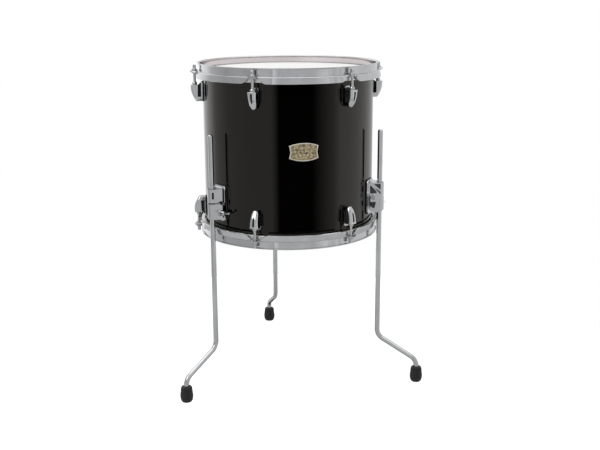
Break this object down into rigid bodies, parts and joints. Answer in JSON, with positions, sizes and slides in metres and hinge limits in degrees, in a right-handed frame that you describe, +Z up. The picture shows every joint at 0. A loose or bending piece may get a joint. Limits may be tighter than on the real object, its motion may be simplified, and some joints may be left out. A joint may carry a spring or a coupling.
{
  "type": "floor tom drum",
  "caption": "Floor tom drum with a gloss black wooden shell, pressed steel hoops, keyed tension rods and bent legs in clamp brackets.",
  "frame": {"origin": "on the floor, in the middle of the drum's footprint, 54 mm behind the drum's own axis", "axes": "+Z up along the drum's axis, -Y towards the side that carries the badge, +X to the right of that side"},
  "size_m": [0.5144, 0.4944, 0.67],
  "materials": {
    "black_lacquer": "high gloss black lacquer on birch ply",
    "chrome": "polished chrome",
    "steel": "bright plated steel",
    "coated_film": "white sprayed coating on polyester film",
    "clear_film": "clear polyester film",
    "badge_plate": "gold and silver plated, hammered field",
    "rubber": "moulded black rubber",
    "nylon": "moulded nylon"
  },
  "bodies": {
    "drum": {"shell": "black_lacquer", "badge": "badge_plate", "batter_head": "coated_film", "batter_hoop": "chrome", "batter_lug_1": "chrome", "batter_lug_2": "chrome", "batter_lug_3": "chrome", "batter_lug_4": "chrome", "batter_lug_5": "chrome", "batter_lug_6": "chrome", "resonant_head": "clear_film", "resonant_hoop": "chrome", "resonant_lug_1": "chrome", "resonant_lug_2": "chrome", "resonant_lug_3": "chrome", "resonant_lug_4": "chrome", "resonant_lug_5": "chrome", "resonant_lug_6": "chrome", "leg_bracket_left": "chrome", "leg_bracket_right": "chrome", "leg_bracket_rear": "chrome"},
    "batter_washer_1": {"batter_rod_washer_1": "steel"},
    "batter_rod_1": {"batter_tension_rod_1": "steel"},
    "batter_washer_2": {"batter_rod_washer_2": "steel"},
    "batter_rod_2": {"batter_tension_rod_2": "steel"},
    "batter_washer_3": {"batter_rod_washer_3": "steel"},
    "batter_rod_3": {"batter_tension_rod_3": "steel"},
    "batter_washer_4": {"batter_rod_washer_4": "steel"},
    "batter_rod_4": {"batter_tension_rod_4": "steel"},
    "batter_washer_5": {"batter_rod_washer_5": "steel"},
    "batter_rod_5": {"batter_tension_rod_5": "steel"},
    "batter_washer_6": {"batter_rod_washer_6": "steel"},
    "batter_rod_6": {"batter_tension_rod_6": "steel"},
    "resonant_washer_1": {"resonant_rod_washer_1": "steel"},
    "resonant_rod_1": {"resonant_tension_rod_1": "steel"},
    "resonant_washer_2": {"resonant_rod_washer_2": "steel"},
    "resonant_rod_2": {"resonant_tension_rod_2": "steel"},
    "resonant_washer_3": {"resonant_rod_washer_3": "steel"},
    "resonant_rod_3": {"resonant_tension_rod_3": "steel"},
    "resonant_washer_4": {"resonant_rod_washer_4": "steel"},
    "resonant_rod_4": {"resonant_tension_rod_4": "steel"},
    "resonant_washer_5": {"resonant_rod_washer_5": "steel"},
    "resonant_rod_5": {"resonant_tension_rod_5": "steel"},
    "resonant_washer_6": {"resonant_rod_washer_6": "steel"},
    "resonant_rod_6": {"resonant_tension_rod_6": "steel"},
    "sleeve_left": {"leg_sleeve_left": "nylon"},
    "leg_left": {"leg_left": "chrome", "leg_foot_left": "rubber"},
    "jaw_left": {"clamp_jaw_left": "chrome"},
    "wing_screw_left": {"wing_screw_left": "chrome"},
    "sleeve_right": {"leg_sleeve_right": "nylon"},
    "leg_right": {"leg_right": "chrome", "leg_foot_right": "rubber"},
    "jaw_right": {"clamp_jaw_right": "chrome"},
    "wing_screw_right": {"wing_screw_right": "chrome"},
    "sleeve_rear": {"leg_sleeve_rear": "nylon"},
    "leg_rear": {"leg_rear": "chrome", "leg_foot_rear": "rubber"},
    "jaw_rear": {"clamp_jaw_rear": "chrome"},
    "wing_screw_rear": {"wing_screw_rear": "chrome"}
  },
  "joints": [
    {"name": "tension_rod_batter_1_turn", "type": "hinge", "parent": "drum", "child": "batter_washer_1", "pos_m": [0.09321, -0.2214, 0.653], "axis": [0, 0, 1], "range_deg": [0, 1800]},
    {"name": "tension_rod_batter_1_travel", "type": "slide", "parent": "batter_washer_1", "child": "batter_rod_1", "axis": [0, 0, 1], "range_m": [0, 0.0053]},
    {"name": "tension_rod_batter_2_turn", "type": "hinge", "parent": "drum", "child": "batter_washer_2", "pos_m": [0.18996, -0.05382, 0.653], "axis": [0, 0, 1], "range_deg": [0, 1800]},
    {"name": "tension_rod_batter_2_travel", "type": "slide", "parent": "batter_washer_2", "child": "batter_rod_2", "axis": [0, 0, 1], "range_m": [0, 0.0053]},
    {"name": "tension_rod_batter_3_turn", "type": "hinge", "parent": "drum", "child": "batter_washer_3", "pos_m": [0.09321, 0.11376, 0.653], "axis": [0, 0, 1], "range_deg": [0, 1800]},
    {"name": "tension_rod_batter_3_travel", "type": "slide", "parent": "batter_washer_3", "child": "batter_rod_3", "axis": [0, 0, 1], "range_m": [0, 0.0053]},
    {"name": "tension_rod_batter_4_turn", "type": "hinge", "parent": "drum", "child": "batter_washer_4", "pos_m": [-0.10029, 0.11376, 0.653], "axis": [0, 0, 1], "range_deg": [0, 1800]},
    {"name": "tension_rod_batter_4_travel", "type": "slide", "parent": "batter_washer_4", "child": "batter_rod_4", "axis": [0, 0, 1], "range_m": [0, 0.0053]},
    {"name": "tension_rod_batter_5_turn", "type": "hinge", "parent": "drum", "child": "batter_washer_5", "pos_m": [-0.19704, -0.05382, 0.653], "axis": [0, 0, 1], "range_deg": [0, 1800]},
    {"name": "tension_rod_batter_5_travel", "type": "slide", "parent": "batter_washer_5", "child": "batter_rod_5", "axis": [0, 0, 1], "range_m": [0, 0.0053]},
    {"name": "tension_rod_batter_6_turn", "type": "hinge", "parent": "drum", "child": "batter_washer_6", "pos_m": [-0.10029, -0.2214, 0.653], "axis": [0, 0, 1], "range_deg": [0, 1800]},
    {"name": "tension_rod_batter_6_travel", "type": "slide", "parent": "batter_washer_6", "child": "batter_rod_6", "axis": [0, 0, 1], "range_m": [0, 0.0053]},
    {"name": "tension_rod_resonant_1_turn", "type": "hinge", "parent": "drum", "child": "resonant_washer_1", "pos_m": [0.09321, -0.2214, 0.333], "axis": [0, 0, -1], "range_deg": [0, 1800]},
    {"name": "tension_rod_resonant_1_travel", "type": "slide", "parent": "resonant_washer_1", "child": "resonant_rod_1", "axis": [0, 0, -1], "range_m": [0, 0.0053]},
    {"name": "tension_rod_resonant_2_turn", "type": "hinge", "parent": "drum", "child": "resonant_washer_2", "pos_m": [0.18996, -0.05382, 0.333], "axis": [0, 0, -1], "range_deg": [0, 1800]},
    {"name": "tension_rod_resonant_2_travel", "type": "slide", "parent": "resonant_washer_2", "child": "resonant_rod_2", "axis": [0, 0, -1], "range_m": [0, 0.0053]},
    {"name": "tension_rod_resonant_3_turn", "type": "hinge", "parent": "drum", "child": "resonant_washer_3", "pos_m": [0.09321, 0.11376, 0.333], "axis": [0, 0, -1], "range_deg": [0, 1800]},
    {"name": "tension_rod_resonant_3_travel", "type": "slide", "parent": "resonant_washer_3", "child": "resonant_rod_3", "axis": [0, 0, -1], "range_m": [0, 0.0053]},
    {"name": "tension_rod_resonant_4_turn", "type": "hinge", "parent": "drum", "child": "resonant_washer_4", "pos_m": [-0.10029, 0.11376, 0.333], "axis": [0, 0, -1], "range_deg": [0, 1800]},
    {"name": "tension_rod_resonant_4_travel", "type": "slide", "parent": "resonant_washer_4", "child": "resonant_rod_4", "axis": [0, 0, -1], "range_m": [0, 0.0053]},
    {"name": "tension_rod_resonant_5_turn", "type": "hinge", "parent": "drum", "child": "resonant_washer_5", "pos_m": [-0.19704, -0.05382, 0.333], "axis": [0, 0, -1], "range_deg": [0, 1800]},
    {"name": "tension_rod_resonant_5_travel", "type": "slide", "parent": "resonant_washer_5", "child": "resonant_rod_5", "axis": [0, 0, -1], "range_m": [0, 0.0053]},
    {"name": "tension_rod_resonant_6_turn", "type": "hinge", "parent": "drum", "child": "resonant_washer_6", "pos_m": [-0.10029, -0.2214, 0.333], "axis": [0, 0, -1], "range_deg": [0, 1800]},
    {"name": "tension_rod_resonant_6_travel", "type": "slide", "parent": "resonant_washer_6", "child": "resonant_rod_6", "axis": [0, 0, -1], "range_m": [0, 0.0053]},
    {"name": "clamp_left_opening", "type": "slide", "parent": "drum", "child": "jaw_left", "axis": [0.5, -0.866, 0], "range_m": [0, 0.0015]},
    {"name": "clamp_left_screw_turn", "type": "hinge", "parent": "jaw_left", "child": "wing_screw_left", "pos_m": [-0.16722, -0.14832, 0.38], "axis": [0.5, -0.866, 0], "range_deg": [0, 540.1]},
    {"name": "leg_left_turn", "type": "hinge", "parent": "drum", "child": "sleeve_left", "pos_m": [-0.17675, -0.15382, 0.397], "axis": [0, 0, 1], "continuous": true},
    {"name": "leg_left_height", "type": "slide", "parent": "sleeve_left", "child": "leg_left", "axis": [0, 0, 1], "range_m": [-0.1, 0.2]},
    {"name": "clamp_right_opening", "type": "slide", "parent": "drum", "child": "jaw_right", "axis": [0.5, 0.866, 0], "range_m": [0, 0.0015]},
    {"name": "clamp_right_screw_turn", "type": "hinge", "parent": "jaw_right", "child": "wing_screw_right", "pos_m": [0.16014, -0.14832, 0.38], "axis": [0.5, 0.866, 0], "range_deg": [0, 540.1]},
    {"name": "leg_right_turn", "type": "hinge", "parent": "drum", "child": "sleeve_right", "pos_m": [0.16966, -0.15382, 0.397], "axis": [0, 0, 1], "continuous": true},
    {"name": "leg_right_height", "type": "slide", "parent": "sleeve_right", "child": "leg_right", "axis": [0, 0, 1], "range_m": [-0.1, 0.2]},
    {"name": "clamp_rear_opening", "type": "slide", "parent": "drum", "child": "jaw_rear", "axis": [-1, 0, 0], "range_m": [0, 0.0015]},
    {"name": "clamp_rear_screw_turn", "type": "hinge", "parent": "jaw_rear", "child": "wing_screw_rear", "pos_m": [-0.00354, 0.13518, 0.38], "axis": [-1, 0, 0], "range_deg": [0, 540.1]},
    {"name": "leg_rear_turn", "type": "hinge", "parent": "drum", "child": "sleeve_rear", "pos_m": [-0.00354, 0.14618, 0.397], "axis": [0, 0, 1], "continuous": true},
    {"name": "leg_rear_height", "type": "slide", "parent": "sleeve_rear", "child": "leg_rear", "axis": [0, 0, 1], "range_m": [-0.1, 0.2]}
  ],
  "couplings": [
    {"joint": "tension_rod_batter_1_travel", "follows": "tension_rod_batter_1_turn", "m_per_rad": 0.00016843},
    {"joint": "tension_rod_batter_2_travel", "follows": "tension_rod_batter_2_turn", "m_per_rad": 0.00016843},
    {"joint": "tension_rod_batter_3_travel", "follows": "tension_rod_batter_3_turn", "m_per_rad": 0.00016843},
    {"joint": "tension_rod_batter_4_travel", "follows": "tension_rod_batter_4_turn", "m_per_rad": 0.00016843},
    {"joint": "tension_rod_batter_5_travel", "follows": "tension_rod_batter_5_turn", "m_per_rad": 0.00016843},
    {"joint": "tension_rod_batter_6_travel", "follows": "tension_rod_batter_6_turn", "m_per_rad": 0.00016843},
    {"joint": "tension_rod_resonant_1_travel", "follows": "tension_rod_resonant_1_turn", "m_per_rad": 0.00016843},
    {"joint": "tension_rod_resonant_2_travel", "follows": "tension_rod_resonant_2_turn", "m_per_rad": 0.00016843},
    {"joint": "tension_rod_resonant_3_travel", "follows": "tension_rod_resonant_3_turn", "m_per_rad": 0.00016843},
    {"joint": "tension_rod_resonant_4_travel", "follows": "tension_rod_resonant_4_turn", "m_per_rad": 0.00016843},
    {"joint": "tension_rod_resonant_5_travel", "follows": "tension_rod_resonant_5_turn", "m_per_rad": 0.00016843},
    {"joint": "tension_rod_resonant_6_travel", "follows": "tension_rod_resonant_6_turn", "m_per_rad": 0.00016843},
    {"joint": "clamp_left_screw_turn", "follows": "clamp_left_opening", "rad_per_m": 6283.2},
    {"joint": "clamp_right_screw_turn", "follows": "clamp_right_opening", "rad_per_m": 6283.2},
    {"joint": "clamp_rear_screw_turn", "follows": "clamp_rear_opening", "rad_per_m": 6283.2}
  ]
}
